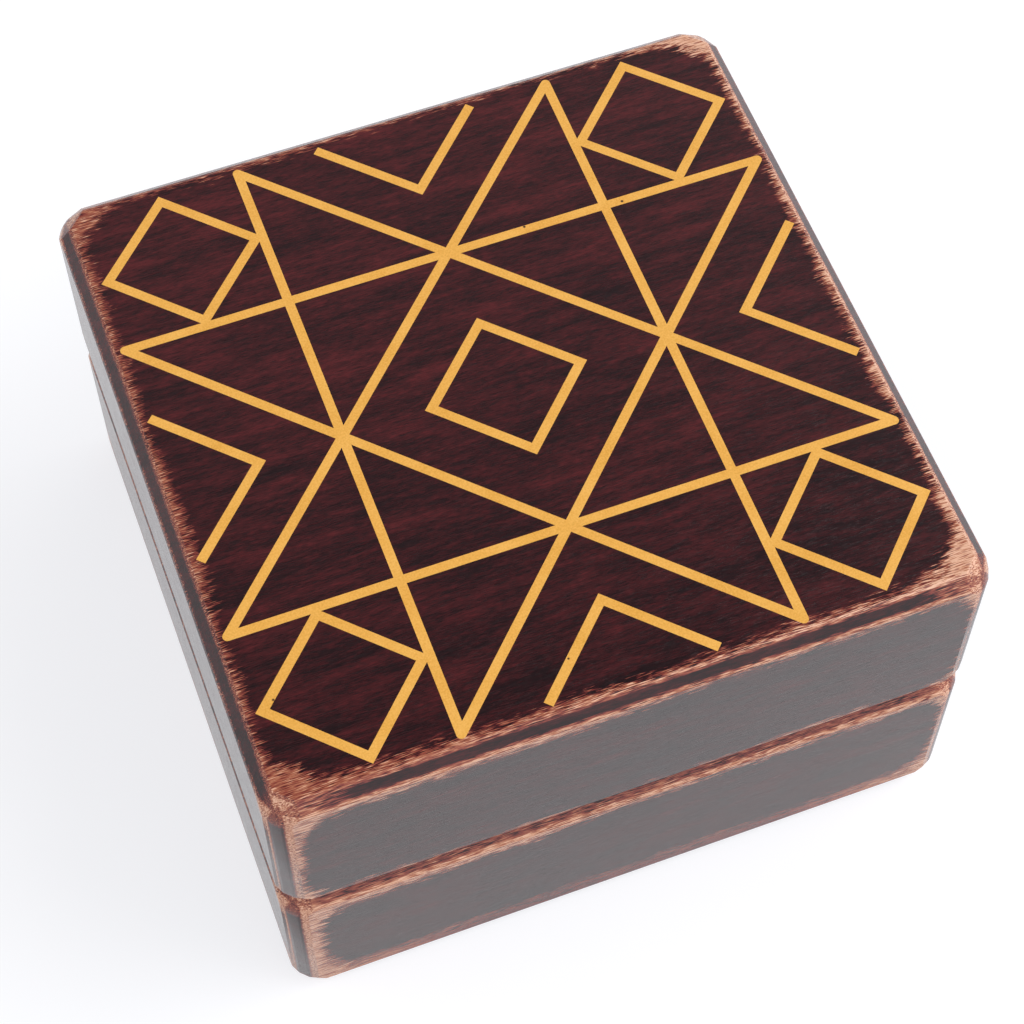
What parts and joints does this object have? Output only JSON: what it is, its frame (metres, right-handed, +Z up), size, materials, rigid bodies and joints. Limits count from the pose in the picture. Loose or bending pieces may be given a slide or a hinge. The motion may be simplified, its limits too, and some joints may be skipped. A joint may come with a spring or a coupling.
{
  "type": "inlaid wooden box",
  "caption": "Square hinged wooden keepsake box milled in two equal halves, with sanded chamfered edges, inlaid resin lines on the lid, brass butt hinges and a hidden magnetic catch.",
  "frame": {"origin": "middle of the underside, on the surface the box stands on", "axes": "+Z up; -Y is the front, where the lid opens; +Y is the back, with the hinges; +X runs to the right along the grain"},
  "size_m": [0.1, 0.1, 0.06],
  "materials": {
    "stained_wood": "dark red-brown stain, sanded through at the edges, under satin lacquer",
    "inlay_resin": "mustard resin filled flush and lacquered over",
    "brass": "polished",
    "plated_magnet": "nickel plated",
    "felt": "pressed wool felt"
  },
  "bodies": {
    "base": {"base_block": "stained_wood", "base_felt": "felt", "base_hinge_screws": "brass", "base_magnets": "plated_magnet", "left_hinge_base_leaf": "brass", "left_hinge_pin": "brass", "right_hinge_base_leaf": "brass", "right_hinge_pin": "brass"},
    "lid": {"lid_block": "stained_wood", "inlay_star": "inlay_resin", "inlay_lozenge": "inlay_resin", "inlay_chevrons": "inlay_resin", "lid_hinge_screws": "brass", "lid_magnets": "plated_magnet", "left_hinge_lid_leaf": "brass", "right_hinge_lid_leaf": "brass"}
  },
  "joints": [
    {"name": "lid_hinge", "type": "hinge", "parent": "base", "child": "lid", "pos_m": [0, 0.0486, 0.03], "axis": [-1, 0, 0], "range_deg": [0, 108]}
  ]
}
